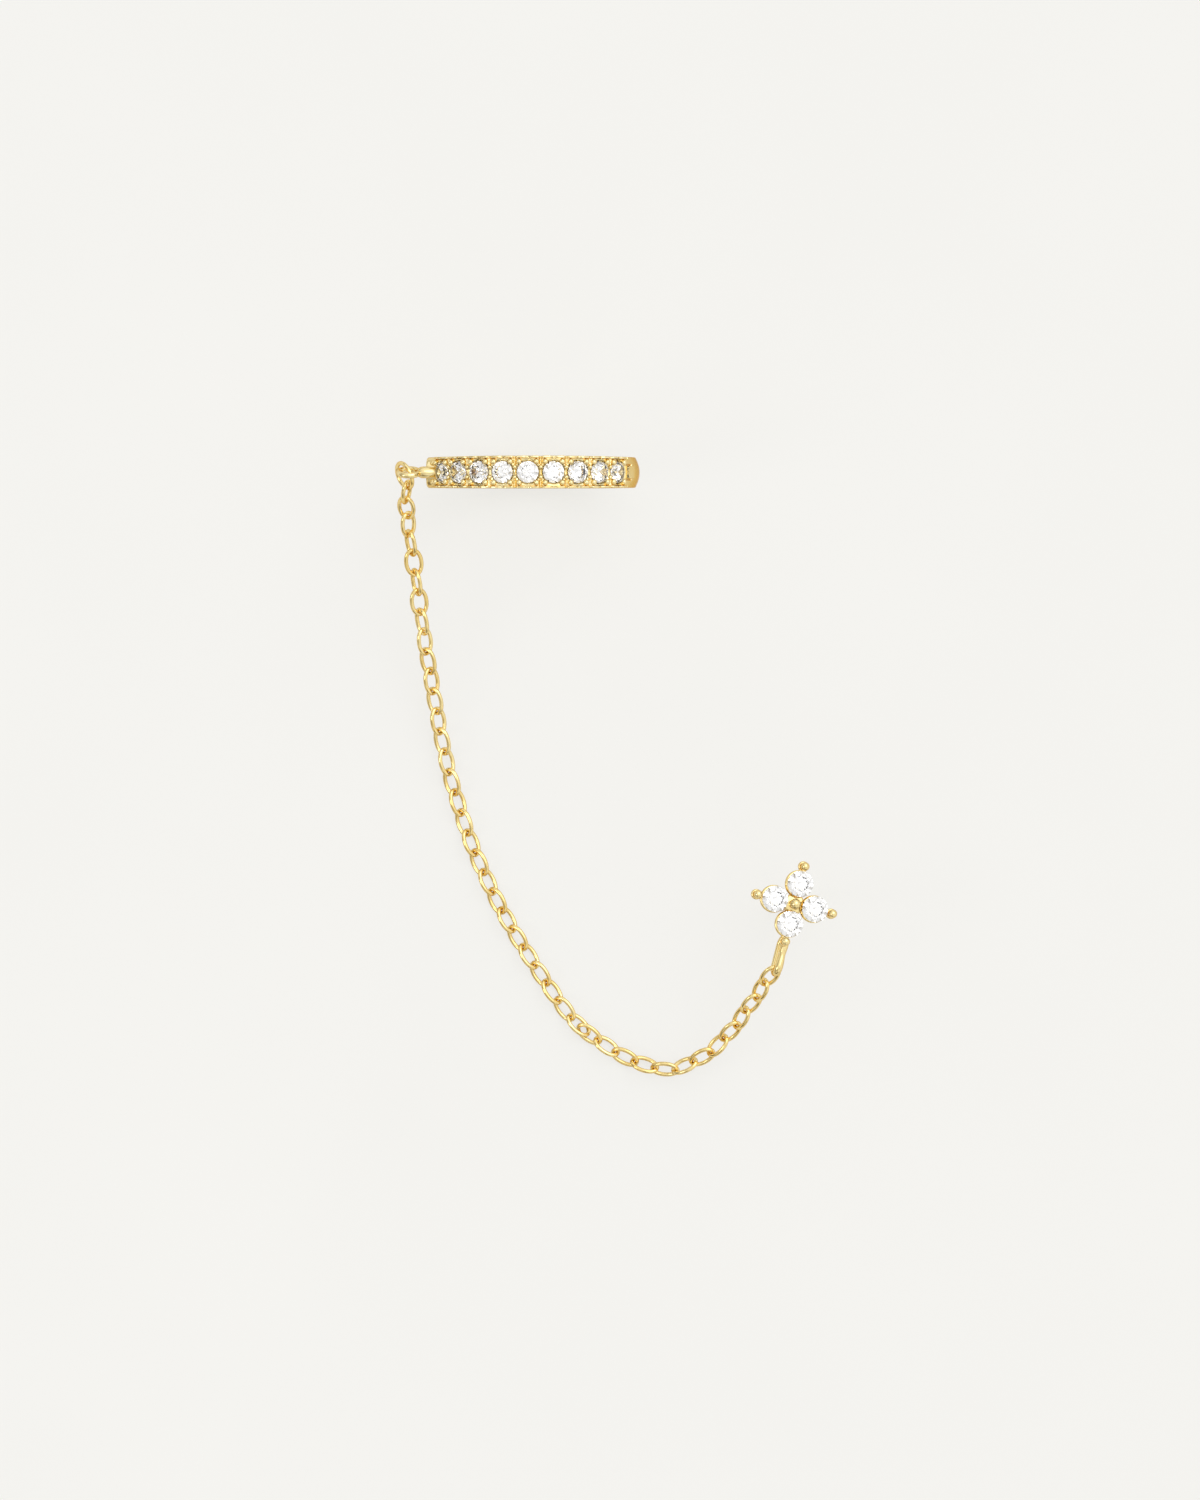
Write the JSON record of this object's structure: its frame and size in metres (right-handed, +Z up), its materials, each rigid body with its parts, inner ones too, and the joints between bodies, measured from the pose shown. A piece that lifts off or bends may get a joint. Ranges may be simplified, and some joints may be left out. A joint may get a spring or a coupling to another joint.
{
  "type": "ear chain earring",
  "caption": "Open ear cuff with a row of round stones, joined by a fine cable chain to a four-petal flower stud on a plain post.",
  "frame": {"origin": "middle of the ear cuff's hole, half way along its width", "axes": "+Y along the cuff's axis, away from the flower; +Z up from the surface that the earring lies on; +X from the chain's end of the cuff to its closed side"},
  "size_m": [0.0252, 0.0354, 0.0124],
  "materials": {
    "cuff_gold": "polished yellow gold plating",
    "chain_gold": "polished yellow gold plating",
    "flower_gold": "polished yellow gold plating",
    "stone": "clear brilliant-cut stone"
  },
  "bodies": {
    "root": {"cuff_band": "cuff_gold", "cuff_stone_1": "stone", "cuff_stone_2": "stone", "cuff_stone_3": "stone", "cuff_stone_4": "stone", "cuff_stone_5": "stone", "cuff_stone_6": "stone", "cuff_stone_7": "stone", "cuff_stone_8": "stone", "cuff_stone_9": "stone", "jump_ring": "chain_gold", "chain": "chain_gold", "flower_setting": "flower_gold", "flower_stone_1": "stone", "flower_stone_2": "stone", "flower_stone_3": "stone", "flower_stone_4": "stone"}
  },
  "joints": []
}
